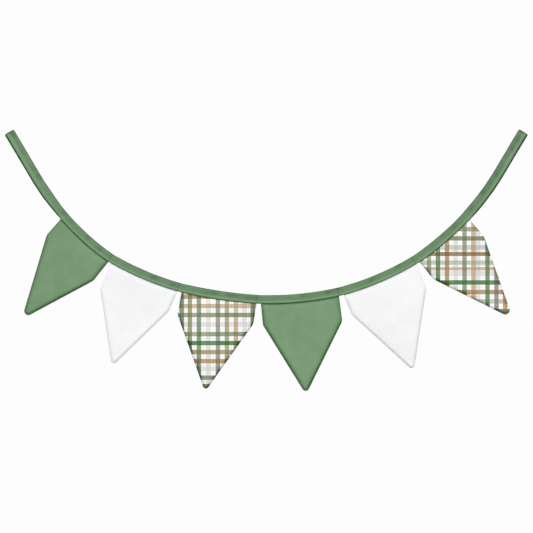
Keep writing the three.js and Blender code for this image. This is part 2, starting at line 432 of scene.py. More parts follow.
def drawn_up(s):
    """How far the sewing draws the lower edge up. It flares a little at the cut ends."""
    drawn = -END_FLARE * bell(from_nearest_end(s), 0.07)
    for arc, most in zip(BOUND, DRAWN_UP):
        over = smooth(s, arc.start - 0.02, arc.start + 0.01)
        drawn += most * over * (1 - smooth(s, arc.end - 0.01, arc.end + 0.02))
    return drawn


def tape_spot(s, across, side, lining):
    wide = rounded_half_width(s)
    lift = end_rounding(s)
    if lining:
        share, across = across, lerp(LINING_FROM, POCKET_TOP, across)
        offset = open_at(s) / 2 * math.sqrt(max(1 - share**4, 0)) * lift
    else:
        offset = leg_face(s, across, side) * lift
    bent = END_BEND * math.sin(math.pi * across) * bell(from_nearest_end(s), 0.012)
    lower = (ripple(s / 0.017, 21) * LOWER_WANDER + drawn_up(s)) * max(-across, 0)
    upper = ripple(s / 0.026, 27) * UPPER_WANDER * max(across, 0)
    y = leg_depth(s, across, side, offset)
    point = on_tape(s + bent, across * wide + lower + upper, y)
    line = lip_line(s, side)
    bare = smooth(outside_pennants(s), 0, 0.02)
    # painted shade at the edges, a painted highlight on the lip strip, painted shade in the dimples
    # and creases
    shades = {
        "edge": max(
            lerp(LOWER_SHADE, BARE_SHADE, bare) * bell((across + 1) * wide, LOWER_RUN),
            FOLD_SHADE * bell((1 - across) * wide, FOLD_RUN),
            END_SHADE * bell(from_nearest_end(s), END_RUN),
        ),
        "lip": 1 - smooth(across, line - 0.08, line + 0.08),
        "dimple": 0 if lining else dimple(s, across, side) + crease(s),
    }
    over = across * wide if side == FRONT else 2 * wide - across * wide
    return Spot(point, (over, s), shades)


def folded_tape(material):
    stations = tape_stations()
    section = round_the_section()
    bm = new_cloth(TAPE_SHADES)

    def spot_at(column, row):
        return tape_spot(stations[column], *section[row % len(section)])

    place_grid(bm, len(stations) - 1, len(section), spot_at, TAPE_SHADES, True)
    bmesh.ops.remove_doubles(bm, verts=bm.verts, dist=1e-6)
    rims = [edge for edge in bm.edges if edge.is_boundary]
    caps = bmesh.ops.holes_fill(bm, edges=rims, sides=0)["faces"]
    bmesh.ops.triangulate(bm, faces=caps)
    piece = make_piece(bm, "folded_tape", material)
    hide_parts("binding_tape")
    return piece


STITCH_PITCH = 0.0030
THREAD_HALF = 0.00021  # half the sewing thread's thickness
STITCH_STOPS = 0.004  # the sewing starts and stops this far from the cut ends
STITCH_STEPS = 6  # rows of faces along one stitch
THREAD_SIDES = 6


def tape_stitches(material):
    """The rows of machine stitches that close the tape, on its front and its back. Each thread
    lies on the cloth for most of a stitch and dives into it between two."""
    count = int((LENGTH - 2 * STITCH_STOPS) / STITCH_PITCH)
    bm = new_cloth(())
    for side in (FRONT, BACK):

        def spot_at(column, row):
            s = STITCH_STOPS + column / STITCH_STEPS * STITCH_PITCH
            up = math.sin(math.pi * (column % STITCH_STEPS) / STITCH_STEPS) ** 0.4
            wander = 0.03 * ripple(s / 0.05, 31) + 0.02 * ripple(s / 0.004, 35)
            turn = -side * 2 * math.pi * row / THREAD_SIDES
            half = THREAD_HALF * (0.35 + 0.65 * up)
            across = STITCH_LINE + wander + half * math.cos(turn) / half_width(s)
            sunk = THREAD_HALF * (1 - up) * 1.8
            offset = leg_face(s, STITCH_LINE + wander, side) * end_rounding(s) - sunk
            y = leg_depth(s, across, side, offset + half * math.sin(turn))
            return Spot(on_tape(s, across * half_width(s), y), (across, s), {})

        place_grid(bm, count * STITCH_STEPS, THREAD_SIDES, spot_at, (), True)
    bmesh.ops.remove_doubles(bm, verts=bm.verts, dist=1e-7)
    bmesh.ops.holes_fill(bm, edges=[edge for edge in bm.edges if edge.is_boundary], sides=0)
    bmesh.ops.recalc_face_normals(bm, faces=bm.faces)
    return make_piece(bm, "tape_stitches", material)


# ---- The pennants ---------------------------------------------------------------------------


class Pennant(NamedTuple):
    """Sizes in the pennant's own plane, from the chord between the two places where its sides
    leave the tape. A shoulder is (out beyond the chord's end, down below it), and the tip is
    (aside of the chord's middle, down). It hangs `forward` at its tip, bulges by `cup`, and
    its right side stands `twist` further out than its left."""

    name: str
    cloth: str
    left: tuple
    right: tuple
    tip: tuple
    tip_radius: float
    forward: float
    cup: float
    twist: float


PENNANTS = (
    Pennant("pennant_1_green", "green", (-0.0005, 0.0485), (0.0035, 0.055), (0.014, 0.2315),
            0.010, 0.005, 0.0022, 0.003),
    Pennant("pennant_2_white", "white", (0.0005, 0.0625), (-0.001, 0.0495), (0.011, 0.217),
            0.0075, 0.0025, -0.0014, -0.002),
    Pennant("pennant_3_plaid", "plaid", (0.001, 0.0515), (0, 0.0465), (0.0005, 0.2175),
            0.007, 0.004, 0.0018, 0.0015),
    Pennant("pennant_4_green", "green", (0, 0.0485), (0.002, 0.057), (-0.007, 0.217),
            0.0085, 0.003, -0.0012, -0.0025),
    Pennant("pennant_5_white", "white", (0.0005, 0.0485), (-0.001, 0.058), (-0.0125, 0.223),
            0.0075, 0.0055, 0.002, 0.002),
    Pennant("pennant_6_plaid", "plaid", (0.0015, 0.05), (0, 0.05), (0.003, 0.2385),
            0.0105, 0.0035, 0.0016, -0.003),
)

SHOULDER_CORNER = 0.005  # run of each side that the soft shoulder corner takes up
TIP_SHORT = 0.0013  # the lowest row stops this far short of the tip's middle on each side
TUCK_DEPTH = 0.016  # how far the top edge reaches up inside the tape
TUCKED_ROWS = (0.009, 0.004)  # rows of faces below it, by their height above the tape's edge
SEAM_GROOVE = 0.00035  # the seam sits this far in from the turned edge
TURNED_HALF = 0.00035  # half thickness at the turned edge
RIM_HALF = 0.0018  # half thickness over the seam allowance inside it
RIM_RISE = 0.0064  # the turned edge thickens over this distance
ALLOWANCE = 0.0076  # where the seam allowance ends inside
ALLOWANCE_STEP = 0.0003
MIDDLE_HALF = 0.00115  # half thickness of the two loose layers in the middle
MIDDLE_FROM = 0.024  # and how far in that starts
PRESSED = 0.001  # the cloth stays pressed thin this far below the tape
UNPRESSED = 0.010  # and is full again after this much more
SHADE_RUN = 0.006  # painted shade deepens the cloth towards its seam over about this distance
SHADE_FACING_UP = 0.24  # share of that painted shade on a side that faces up, where more light falls
SHADE_UPPER = 0.7  # and on the short sides above the shoulders
SEAM_SHADE = 0.35  # a finer line of painted shade along the seam itself
SEAM_RUN = 0.0028
PAINTED_SHADOW_BELOW_TAPE = {"green": 0.5, "white": 0.32, "plaid": 0.25}  # painted shadow on the cloth just below the tape, with its runs below
PAINTED_SHADOW_RUNS = {"green": 0.0018, "white": 0.007, "plaid": 0.0018}

PUCKER_HEIGHT = 0.0003  # of the seam's puckers
CLOUD_HEIGHT = 0.00028  # of the soft unevenness inside
DRAG_HEIGHT = 0.00028  # of the folds that hang from the sewing at the tape
SWAY = 0.0006  # how far both layers sway in and out together
WAVER = 0.0004  # how far the sides wander from their lines

CLOTH_STEP = 0.0014  # between two rows of faces down a pennant
# Distances in from a side where the rows and columns crowd, to round the turned edge.
CROWD = (SEAM_GROOVE, 0, 0.00015, 0.0005, 0.001, 0.0017, 0.0026, 0.0036, 0.0048, 0.006, 0.0074)
CROWD_SHARE = 0.36  # most of a narrow row's width that each crowd takes up
COLUMNS = 92
CORNER_STEPS = 8
TIP_STEPS = 16
# the 'edge' attribute holds painted shade along the seams and a painted shadow just below the tape
PENNANT_SHADES = ("edge",)


def side_path(top_x, shoulder, point, centre, tip_radius, tangent, lowest):
    """One side in the pennant's plane, from the tape to the middle of the tip."""
    above = shoulder + (Vector((top_x, 0)) - shoulder).normalized() * SHOULDER_CORNER
    below = shoulder + (point - shoulder).normalized() * SHOULDER_CORNER
    path = [Vector((top_x, 0))]
    for k in range(CORNER_STEPS + 1):
        share = k / CORNER_STEPS
        path.append(above.lerp(shoulder, share).lerp(shoulder.lerp(below, share), share))
    for k in range(TIP_STEPS + 1):
        angle = lerp(tangent, lowest, k / TIP_STEPS)
        path.append(centre + tip_radius * Vector((math.cos(angle), math.sin(angle))))
    return path


def side_paths(shape, chord):
    point = Vector((shape.tip[0], -shape.tip[1]))
    left = Vector((-chord / 2 - shape.left[0], -shape.left[1]))
    right = Vector((chord / 2 + shape.right[0], -shape.right[1]))
    up_left, up_right = (left - point).normalized(), (right - point).normalized()
    up = (up_left + up_right).normalized()
    half_apex = math.acos(up.dot(up_left))
    centre = point + up * shape.tip_radius / math.sin(half_apex)
    lowest = math.atan2(up.y, up.x) + math.pi
    swing = math.pi / 2 - half_apex
    return [
        side_path(-chord / 2, left, point, centre, shape.tip_radius, lowest - swing, lowest),
        side_path(chord / 2, right, point, centre, shape.tip_radius, lowest + swing, lowest),
    ]


class Track:
    """A path that is walked by distance."""

    def __init__(self, path):
        self.path = np.array(path)
        steps = np.linalg.norm(np.diff(self.path, axis=0), axis=1)
        self.walked = np.concatenate([[0], np.cumsum(steps)])
        self.length = self.walked[-1]

    def at(self, share):
        """The point at each share of the length."""
        where = np.asarray(share) * self.length
        return np.stack([np.interp(where, self.walked, axis) for axis in self.path.T], -1)


def crowded(length, step):
    """Distances from one end: even at first, then closer towards the far end."""
    far = [length - near for near in reversed(CROWD)]
    count = round(far[0] / step)
    return [far[0] * k / count for k in range(count)] + far


def columns_of(width):
    """Places across a row this wide, closer to each side."""
    near = np.array(CROWD) * min(1, CROWD_SHARE * width / CROWD[-1])
    inner = np.linspace(near[-1], width - near[-1], COLUMNS - 2 * len(CROWD) + 3)[1:-1]
    return np.concatenate([near, inner, width - near[::-1]])


def distance_inside(points, outlines):
    """How far each point is from the nearest side."""
    nearest = np.full(len(points), np.inf)
    for outline in outlines:
        for start, end in zip(outline[:-1], outline[1:]):
            run = end - start
            share = np.clip((points - start) @ run / (run @ run), 0, 1)
            away = np.linalg.norm(points - start - share[:, None] * run, axis=1)
            nearest = np.minimum(nearest, away)
    return nearest


def side_shades(side, right, outward):
    """How strongly painted shade darkens the seam at each point along a side: least where the side
    faces up, where more light falls.
    """
    shades = []
    for run_x, run_y in np.gradient(side, axis=0):
        run = math.hypot(run_x, run_y)
        lift = outward * (run_x * right.x - run_y * right.z) / run
        tapers = smooth(abs(run_x) / run, 0.1, 0.4)
        shade = lerp(SHADE_FACING_UP, 1, smooth(-lift, -0.75, 0.55))
        shades.append(shade * lerp(SHADE_UPPER, 1, tapers))
    return shades


def puffed(inside):
    """Half thickness of the two sewn layers this far in from their turned edge."""
    turn = 1 - min(inside / RIM_RISE, 1)
    rim = lerp(TURNED_HALF, RIM_HALF, math.sqrt(1 - turn * turn))
    settle = RIM_HALF - ALLOWANCE_STEP - MIDDLE_HALF
    step = ALLOWANCE_STEP * smooth(inside, ALLOWANCE - 0.0008, ALLOWANCE + 0.0012)
    return rim - step - settle * smooth(inside, ALLOWANCE, MIDDLE_FROM)


def relief(seed, side, x, z, inside, along, below):
    """Small unevenness of one layer: puckers along the seam, soft clouds inside, and drags that
    hang from the sewing at the tape."""
    held = smooth(below, 0, 0.006)
    slant = along + 0.5 * inside
    pucker = ripple(slant / 0.0042, seed, side * 3) + 0.7 * ripple(slant / 0.0095, seed + 5, side)
    fade = smooth(inside, 0.0002, 0.0015) * math.exp(-max(inside - 0.002, 0) / 0.0042)
    clouds = ripple(x / 0.036, z / 0.031, seed + side) + 0.5 * ripple(x / 0.015, z / 0.018, seed + 9)
    drag = ripple(x / 0.013 + 0.4 * z / 0.013, seed + 14, side) * math.exp(-below / 0.028)
    calm = smooth(inside, 0.004, 0.018)
    puckered = PUCKER_HEIGHT * pucker * fade
    return held * (puckered + CLOUD_HEIGHT * clouds * calm + DRAG_HEIGHT * drag * calm)


def pennant(index, shape, arc, material):
    """Two layers, sewn round their sides and tip, with their top edges up inside the tape. Below
    it the rows run straight between the two sides."""

    def tape_edge(share):
        s = lerp(arc.start, arc.end, share)
        return on_tape(s, -half_width(s), 0)

    start, end = tape_edge(0), tape_edge(1)
    chord = (end - start).length
    right = (end - start).normalized()
    up = Vector((-right.z, 0, right.x))
    middle = start.lerp(end, 0.5)
    tracks = [Track(path) for path in side_paths(shape, chord)]
    length = tracks[0].length
    seed = 10 * index + 7

    # Rows: the rim and three rows up inside the tape, then down the cloth from tape to tip.
    tucked = (TUCK_DEPTH - SEAM_GROOVE, TUCK_DEPTH, *TUCKED_ROWS)
    downs = crowded(length - TIP_SHORT, CLOTH_STEP)
    ts = np.array(downs) / length
    lefts, rights = tracks[0].at(ts), tracks[1].at(ts)
    widths = np.linalg.norm(rights - lefts, axis=1)
    shares = np.array([columns_of(wide) / wide for wide in widths])
    flats = lefts[:, None] + (rights - lefts)[:, None] * shares[..., None]
    inside = distance_inside(flats.reshape(-1, 2), [track.path for track in tracks])
    inside = inside.reshape(shares.shape)
    columns = shares.shape[1] - 1
    rows = len(tucked) + len(downs) - 1
    side_shade = (side_shades(lefts, right, -1), side_shades(rights, right, 1))

    def depth(share, t):
        s = lerp(arc.start, arc.end, share)
        hung = lerp(middle_depth(s, -1), -HANG_DEPTH, smooth(t, 0, 0.25))
        bulge = shape.cup * math.sin(math.pi * share) * math.sin(math.pi * t)
        turn = shape.twist * (share - 0.5) * smooth(t, 0, 0.8)
        return hung - bulge - shape.forward * t * t - turn

    def cloth_place(point, x, y):
        return (point.x, point.z) if shape.cloth == "plaid" else (x, y)

    def tucked_spot(column, level, side, at_rim):
        share = shares[0][column]
        s = lerp(arc.start, arc.end, share)
        across = level - half_width(s)
        half = 0 if at_rim else TUCKED / 2
        point = on_tape(s, across, middle_depth(s, across / half_width(s)) + side * half)
        x, y = (point - middle).dot(right), (point - middle).dot(up)
        return Spot(point, cloth_place(point, x, y), {"edge": 0})

    def hanging_spot(column, k, side, at_rim):
        share, t, near = shares[k][column], ts[k], inside[k][column]
        x, y = flats[k][column]
        below = downs[k]
        half = 0
        if not at_rim:
            half = lerp(TUCKED / 2, puffed(near), smooth(below, PRESSED, PRESSED + UNPRESSED))
            half += relief(seed, side, x, y, near, below, below)
        sag = (tape_edge(share) - start.lerp(end, share)) * (1 - t) ** 2
        sway = SWAY * ripple(x / 0.06, y / 0.05, seed) * smooth(t, 0, 0.3)
        waver = WAVER * ripple(below / 0.014, seed + (40 if share < 0.5 else 60))
        waver *= (2 * share - 1) * smooth(below, 0, 0.01) * (1 - t)
        point = middle + right * (x + waver) + up * y + sag
        cloth = cloth_place(point, x, y)
        point.y = depth(share, t) + sway + side * half
        # painted shade towards the seam, weaker on sides that face up, and a painted shadow just
        # below the tape
        shade = bell(near, SHADE_RUN) * side_shade[round(share)][k]
        shade += SEAM_SHADE * bell(near, SEAM_RUN)
        # painted shadow just below the tape
        painted_shadow = PAINTED_SHADOW_BELOW_TAPE[shape.cloth] * bell(below, PAINTED_SHADOW_RUNS[shape.cloth])
        return Spot(point, cloth, {"edge": max(shade, painted_shadow)})

    bm = new_cloth(PENNANT_SHADES)
    for side in (FRONT, BACK):

        def spot_at(column, row):
            line = rows - row  # the grid's rows climb, and the cloth's run down
            at_rim = column in (0, columns) or line in (0, rows)
            if line < len(tucked):
                return tucked_spot(column, tucked[line], side, at_rim)
            return hanging_spot(column, line - len(tucked), side, at_rim)

        place_grid(bm, columns, rows, spot_at, PENNANT_SHADES, side == FRONT)
    bmesh.ops.remove_doubles(bm, verts=bm.verts, dist=1e-7)
    name = f"{shape.cloth}_cloth_{index + 1}"
    piece = make_piece(bm, name, material)
    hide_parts(shape.name)
    return piece


# ---- Finishes -------------------------------------------------------------------------------


def colour(red, green, blue):
    """A colour from everyday 0 to 255 values, as the linear numbers that shaders take."""

    def linear(value):
        value /= 255
        return value / 12.92 if value <= 0.04045 else ((value + 0.055) / 1.055) ** 2.4

    return linear(red), linear(green), linear(blue)


class Recipe:
    """Adds nodes to one tree and wires them, so that a finish reads as a list of steps."""

    def __init__(self, tree):
        self.tree = tree

    def plug(self, socket, value):
        if isinstance(value, bpy.types.NodeSocket):
            self.tree.links.new(value, socket)
        elif isinstance(value, tuple) and len(value) == 3 and socket.type == "RGBA":
            socket.default_value = (*value, 1)
        else:
            socket.default_value = value

    def node(self, kind, settings=None, **inputs):
        made = self.tree.nodes.new(kind)
        for name, value in (settings or {}).items():
            setattr(made, name, value)
        for name, value in inputs.items():
            self.plug(made.inputs[name.replace("_", " ")], value)
        return made

    def maths(self, operation, *values):
        made = self.node("ShaderNodeMath", {"operation": operation})
        for socket, value in zip(made.inputs, values):
            self.plug(socket, value)
        return made.outputs[0]

    def between(self, value, low, high, to_low=0.0, to_high=1.0):
        """value from low to high, turned smoothly into to_low to to_high."""
        made = self.node("ShaderNodeMapRange", {"interpolation_type": "SMOOTHSTEP"})
        for socket, given in zip(made.inputs, (value, low, high, to_low, to_high)):
            self.plug(socket, given)
        return made.outputs[0]

    def blend(self, way, factor, first, second):
        made = self.node("ShaderNodeMix", {"data_type": "RGBA", "blend_type": way})
        for socket, given in zip((made.inputs[0], made.inputs[6], made.inputs[7]),
                                 (factor, first, second)):
            self.plug(socket, given)
        return made.outputs[2]

    def clouds(self, place, size, detail=2.0):
        """Soft random values round 0.5, in patches of about this size."""
        made = self.node("ShaderNodeTexNoise", Vector=place, Scale=1 / size, Detail=detail)
        return made.outputs["Fac"]

    def shade(self, name):
        return self.node("ShaderNodeAttribute", {"attribute_name": name}).outputs["Fac"]

    def cloth(self, turned=0.0):
        """The place on the flat cloth in metres, and its two parts."""
        flat = self.node("ShaderNodeUVMap", {"uv_map": "cloth"}).outputs["UV"]
        if turned:
            flat = self.node("ShaderNodeMapping", Vector=flat, Rotation=(0, 0, turned)).outputs[0]
        parts = self.node("ShaderNodeSeparateXYZ", Vector=flat).outputs
        return flat, parts["X"], parts["Y"]


THREAD_PITCH = 0.00052  # of the cloth's own threads
THREAD_HEIGHT = 0.00007
LIGHT = 1.055  # how much brighter than its own colour the studio light shows a flat face


def weave(recipe, across, along):
    """Height of a plain weave: at each crossing the other thread lies on top."""
    waves = []
    for place in (across, along):
        turns = recipe.maths("MULTIPLY", place, math.pi / THREAD_PITCH)
        waves.append(recipe.maths("SINE", turns))
    warp, weft = (recipe.maths("ABSOLUTE", wave) for wave in waves)
    over = recipe.maths("GREATER_THAN", recipe.maths("MULTIPLY", *waves), 0.0)
    under = recipe.maths("SUBTRACT", 1.0, over)
    high = recipe.maths("MULTIPLY", over, warp)
    return recipe.maths("MULTIPLY_ADD", under, weft, high)


PATCH_SIZE = 0.034  # of the dye's soft patches
FLECK_SIZE = 0.0017  # and of the finest flecks
UNEVEN_SIZE = 0.006  # of the unevenness in the painted shade along the edges
CRUMPLE_SIZE = 0.011  # of the cloth's small crumples


def cotton(name, paint, turned=0.0, painted_shade_depth=0.8, painted_shade_tint=(1, 1, 1), mottled=0.06, crumple=0.00016):
    """Matt woven cotton. paint(recipe) gives the cloth's own colour, which painted shade deepens and
    tints towards the seams and edges."""
    material = bpy.data.materials.new(name)
    material.use_nodes = True
    material.node_tree.nodes.clear()
    recipe = Recipe(material.node_tree)
    flat, across, along = recipe.cloth(turned)
    threads = weave(recipe, across, along)

    dyed = paint(recipe)
    patches = recipe.between(recipe.clouds(flat, PATCH_SIZE), 0.25, 0.75, 1 - mottled, 1 + mottled)
    flecks = recipe.between(recipe.clouds(flat, FLECK_SIZE, 3.0), 0.2, 0.8, 0.97, 1.03)
    grain = recipe.maths("MULTIPLY_ADD", threads, 0.05, 0.965)
    tone = recipe.maths("MULTIPLY", recipe.maths("MULTIPLY", patches, flecks), grain)
    dyed = recipe.blend("MULTIPLY", 1.0, dyed, grey(recipe, tone))

    # painted shade: the 'edge' attribute deepens and tints the colour towards seams and edges
    uneven = recipe.between(recipe.clouds(flat, UNEVEN_SIZE), 0.3, 0.7, 0.72, 1.15)
    edge = recipe.maths("MULTIPLY", recipe.shade("edge"), uneven)
    gamma = recipe.maths("MULTIPLY_ADD", edge, painted_shade_depth, 1.0)
    deep = recipe.node("ShaderNodeGamma", Color=dyed, Gamma=gamma).outputs[0]
    dyed = recipe.blend("MULTIPLY", edge, deep, painted_shade_tint)

    creased = recipe.clouds(flat, CRUMPLE_SIZE, 4.0)
    height = recipe.maths("MULTIPLY", creased, crumple)
    height = recipe.maths("MULTIPLY_ADD", threads, THREAD_HEIGHT, height)
    bump = recipe.node("ShaderNodeBump", Height=height, Distance=1.0, Strength=0.8)
    shader = recipe.node(
        "ShaderNodeBsdfPrincipled", Base_Color=dyed, Normal=bump.outputs[0], Roughness=0.92,
        Specular_IOR_Level=0.2, Sheen_Weight=0.08, Sheen_Roughness=0.5,
    )
    recipe.node("ShaderNodeOutputMaterial", Surface=shader.outputs[0])
    return material


def grey(recipe, value):
    return recipe.node("ShaderNodeCombineColor", Red=value, Green=value, Blue=value).outputs[0]


def lit(red, green, blue):
    """The cloth's own colour, for one that shows like this in the studio light."""
    return tuple(part / LIGHT for part in colour(red, green, blue))


def plain(red, green, blue):
    """One even dye, as a paint for cotton()."""

    def paint(recipe):
        made = recipe.node("ShaderNodeRGB")
        made.outputs[0].default_value = (*lit(red, green, blue), 1)
        return made.outputs[0]

    return paint


DEEPENS_RIGHT = (1.24, 1.34)  # places along the tape where its band starts and ends to deepen
LIP_HIGHLIGHT_GROWS = (0.20, 0.24)  # where the painted highlight on its lower strip grows stronger
LIP_HIGHLIGHT_FADES = (1.25, 1.29)  # and weaker again
# painted shade that darkens the dimples and creases
DIMPLE_PAINTED_SHADE = (0.74, 0.77, 0.74)


def paint_tape(recipe):
    """Sage green, a little deeper towards the right end, with a painted highlight on the lower strip
    where the turned-in edge lifts it, and painted shade in the dimples and the creases."""
    along = recipe.cloth()[2]
    rightwards = recipe.between(along, *DEEPENS_RIGHT)
    body = recipe.blend("MIX", rightwards, lit(107, 137, 103), lit(101, 131, 98))
    # painted highlight on the lower strip, stronger over the pennants
    bound = recipe.maths("MULTIPLY", recipe.between(along, *LIP_HIGHLIGHT_GROWS),
                         recipe.between(along, *LIP_HIGHLIGHT_FADES, 1.0, 0.0))
    lip = recipe.blend("MIX", bound, lit(111, 141, 107), lit(118, 148, 114))
    body = recipe.blend("MIX", recipe.shade("lip"), body, lip)
    # painted shade in the dimples and creases
    return recipe.blend("MULTIPLY", recipe.shade("dimple"), body, DIMPLE_PAINTED_SHADE)


# ---- The plaid ------------------------------------------------------------------------------

PRINT_WHITE = 253  # the bare cloth between the stripes
DYES = {
    "sage": (140, 157, 131),
    "fern": (124, 152, 115),
    "leaf": (92, 138, 90),
    "moss": (136, 151, 114),
    "lichen": (168, 176, 150),
    "pale sage": (194, 198, 183),
    "olive": (154, 161, 124),
    "khaki": (178, 172, 142),
    "straw": (197, 192, 174),
    "tan": (180, 156, 120),
    "clay": (155, 131, 93),
    "rust": (194, 156, 114),
    "peach": (205, 180, 151),
    "mist": (226, 225, 222),
    "fog": (204, 204, 199),
    "stone": (160, 164, 145),
    "taupe": (156, 152, 142),
}


class Stripe(NamedTuple):
    """A printed stripe: where it runs, its dye where it starts and where it ends."""

    at: float
    first: str
    last: str
    half: float = 0.0051


class Plaid(NamedTuple):
    """The stripes of one pennant: upright ones by their x, and level ones by their z."""

    upright: tuple
    level: tuple
    spans: tuple  # (left, right) and (top, bottom) of the cloth that the stripes cross


MIST_HALF = 0.0056  # half width of the pale stripes
PLAID_OF_3 = Plaid(
    (
        Stripe(0.3977, "sage", "fern"),
        Stripe(0.4161, "olive", "fern"),
        Stripe(0.4368, "sage", "fern"),
        Stripe(0.4586, "mist", "mist", MIST_HALF),
        Stripe(0.4805, "stone", "taupe"),
        Stripe(0.5012, "khaki", "olive"),
        Stripe(0.5219, "straw", "rust"),
        Stripe(0.5414, "mist", "mist", MIST_HALF),
        Stripe(0.5603, "sage", "fern"),
    ),
    (
        Stripe(-0.3791, "tan", "tan"),
        Stripe(-0.4005, "peach", "peach"),
        Stripe(-0.4212, "stone", "moss"),
        Stripe(-0.4426, "mist", "mist", MIST_HALF),
        Stripe(-0.4649, "khaki", "sage"),
        Stripe(-0.4856, "leaf", "leaf"),
        Stripe(-0.5063, "tan", "khaki"),
        Stripe(-0.5270, "rust", "rust"),
        Stripe(-0.5447, "mist", "mist", MIST_HALF),
        Stripe(-0.5649, "sage", "sage"),
        Stripe(-0.5845, "moss", "moss"),
    ),
    ((0.388, 0.568), (-0.379, -0.595)),
)
PLAID_OF_6 = Plaid(
    (
        Stripe(0.9658, "lichen", "sage"),
        Stripe(0.9865, "fern", "leaf"),
        Stripe(1.0072, "tan", "tan"),
        Stripe(1.0272, "mist", "mist", MIST_HALF),
        Stripe(1.0474, "stone", "sage"),
        Stripe(1.0677, "peach", "peach"),
        Stripe(1.0785, "mist", "mist", MIST_HALF),
        Stripe(1.1001, "fern", "fern"),
        Stripe(1.1206, "taupe", "taupe"),
        Stripe(1.1406, "rust", "rust"),
    ),
    (
        Stripe(-0.2238, "lichen", "sage"),
        Stripe(-0.2450, "moss", "moss"),
        Stripe(-0.2659, "fog", "fog", MIST_HALF),
        Stripe(-0.2809, "clay", "clay", 0.0046),
        Stripe(-0.3007, "pale sage", "pale sage"),
        Stripe(-0.3147, "peach", "peach", 0.0036),
        Stripe(-0.3262, "mist", "mist", MIST_HALF),
        Stripe(-0.3462, "leaf", "leaf"),
        Stripe(-0.3683, "tan", "tan"),
        Stripe(-0.3899, "pale sage", "pale sage"),
        Stripe(-0.4120, "sage", "sage"),
    ),
    ((0.952, 1.152), (-0.218, -0.423)),
)
PLAIDS = {2: PLAID_OF_3, 5: PLAID_OF_6}  # by the pennant's index

SOFT = 0.0007  # how softly a stripe's side ends
BESIDE = 0.42  # where two stripes cross, how far the dyes take beside each other and not on top
HAIRLINE = (240, 240, 241)  # faint lines halfway between stripes
HAIRLINE_HALF = 0.0009
HAIRLINE_SOFT = 0.0005
BORDER = (0.0026, 0.0012)  # the darker border of a stripe lies between these, in from its side
WASH_SIZE = 0.021  # patches where the ink took more or less
WOBBLE = 0.0008  # how far a stripe's line wanders in all
WOBBLE_SIZE = 0.03
DRIFT_SIZE = 0.05  # patches in the drift from one dye to the other
DRIFT = 1.2


def ink(recipe, flat, where, along, stripe_at, half, first, last, seed):
    """What one stripe lets through of the white cloth: darker at its two borders, washed
    unevenly, and drifting from its first dye to its last."""
    offset = recipe.node("ShaderNodeVectorMath", {"operation": "ADD"})
    recipe.plug(offset.inputs[0], flat)
    recipe.plug(offset.inputs[1], (seed * 0.37, seed * 0.11, 0))
    place = offset.outputs[0]
    wash = recipe.clouds(place, WASH_SIZE)
    wobble = recipe.clouds(place, WOBBLE_SIZE, 1.0)
    wobble = recipe.maths("MULTIPLY_ADD", wobble, WOBBLE, -WOBBLE / 2)
    centred = recipe.maths("SUBTRACT", where, stripe_at)
    away = recipe.maths("ABSOLUTE", recipe.maths("ADD", centred, wobble))
    cover = recipe.between(away, half - SOFT, half + SOFT, 1.0, 0.0)
    border = recipe.between(away, half - BORDER[0], half - BORDER[1], 0.98, 1.06)
    strength = recipe.between(wash, 0.25, 0.75, 0.95, 1.05)
    density = recipe.maths("MULTIPLY", cover, recipe.maths("MULTIPLY", border, strength))
    drift = recipe.maths("MULTIPLY_ADD", recipe.clouds(place, DRIFT_SIZE, 1.0), DRIFT, -DRIFT / 2)
    drift = recipe.between(recipe.maths("ADD", along, drift), 0.15, 0.85)
    dye = recipe.blend("MIX", drift, first, last)
    return recipe.blend("MIX", density, (1.0, 1.0, 1.0), dye)


def against_white(values):
    """The share of each part of the light that an ink lets the bare cloth show."""
    return tuple(part / white for part, white in zip(colour(*values), colour(*[PRINT_WHITE] * 3)))


def plaid_print(plaid):
    """The printed cloth. Its upright and level inks cross, and thin lines run between stripes."""

    def paint(recipe):
        flat, x, z = recipe.cloth()
        (left, right), (top, bottom) = plaid.spans
        from_left = recipe.maths("DIVIDE", recipe.maths("SUBTRACT", x, left), right - left)
        from_top = recipe.maths("DIVIDE", recipe.maths("SUBTRACT", z, top), bottom - top)
        printed = (1.0, 1.0, 1.0)
        seed = 0
        for stripes, where, along in ((plaid.upright, x, from_top), (plaid.level, z, from_left)):
            for stripe in stripes:
                seed += 1
                first, last = (against_white(DYES[dye]) for dye in (stripe.first, stripe.last))
                inked = ink(recipe, flat, where, along, stripe.at, stripe.half, first, last, seed)
                over = recipe.blend("MULTIPLY", 1.0, printed, inked)
                if stripes is plaid.level:
                    beside = recipe.blend("DARKEN", 1.0, printed, inked)
                    over = recipe.blend("MIX", BESIDE, over, beside)
                printed = over
            for one, other in zip(stripes, stripes[1:]):
                halfway = (one.at + other.at) / 2
                away = recipe.maths("ABSOLUTE", recipe.maths("SUBTRACT", where, halfway))
                thin, thick = HAIRLINE_HALF - HAIRLINE_SOFT, HAIRLINE_HALF + HAIRLINE_SOFT
                line = recipe.between(away, thin, thick, 1.0, 0.0)
                printed = recipe.blend("MULTIPLY", line, printed, against_white(HAIRLINE))
        return recipe.blend("MULTIPLY", 1.0, printed, lit(*[PRINT_WHITE] * 3))

    return paint


THREAD_PATCH = 0.004  # the sewing thread's green varies over about this distance


